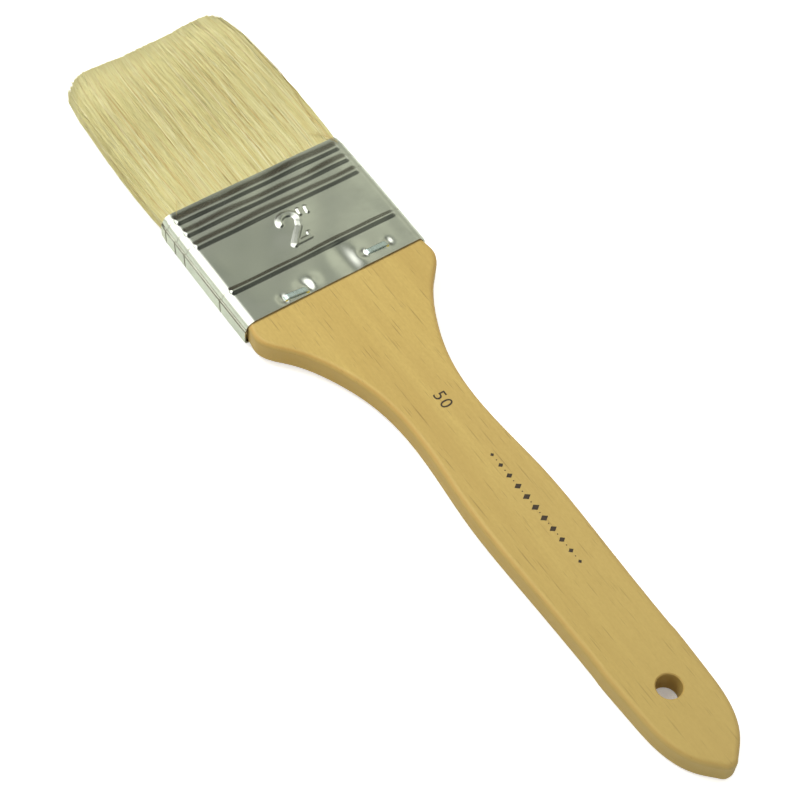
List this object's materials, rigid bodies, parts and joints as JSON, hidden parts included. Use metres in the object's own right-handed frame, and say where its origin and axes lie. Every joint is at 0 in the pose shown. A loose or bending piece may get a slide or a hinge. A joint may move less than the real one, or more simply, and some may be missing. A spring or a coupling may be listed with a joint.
{
  "type": "flat paint brush",
  "caption": "Flat natural-bristle paint brush: long flat beech handle with a hang hole, ribbed tinned ferrule and bristles that flex.",
  "frame": {"origin": "centre of the brush's length and width, at the level of the lowest point of its back as it lies flat", "axes": "+Y from the handle's tail to the bristle tips, +X to the right seen from the front with the bristles up, +Z out of the front face"},
  "size_m": [0.0508, 0.235, 0.0085],
  "materials": {
    "beech": "satin clear lacquer over beech",
    "tinned_steel": "bright tinned sheet, finely brushed",
    "zinc_wire": "zinc-coated flat wire",
    "setting_resin": "cured amber glue",
    "filler_wood": "bare sawn strip",
    "bristle": "undyed pale hog bristle"
  },
  "bodies": {
    "brush_body": {"handle": "beech", "ferrule": "tinned_steel", "staple_front_left": "zinc_wire", "staple_front_right": "zinc_wire", "staple_back_left": "zinc_wire", "staple_back_right": "zinc_wire", "setting": "setting_resin", "filler_strip": "filler_wood", "bristle_root_front": "bristle", "bristle_root_back": "bristle"},
    "bristle_flex": {"bristles_front": "bristle", "bristles_back": "bristle"}
  },
  "joints": [
    {"name": "bristle_bend", "type": "hinge", "parent": "brush_body", "child": "bristle_flex", "pos_m": [0, 0.07415, 0.00425], "axis": [1, 0, 0], "range_deg": [-35, 35], "stiffness_Nm_per_rad": 0.25}
  ]
}
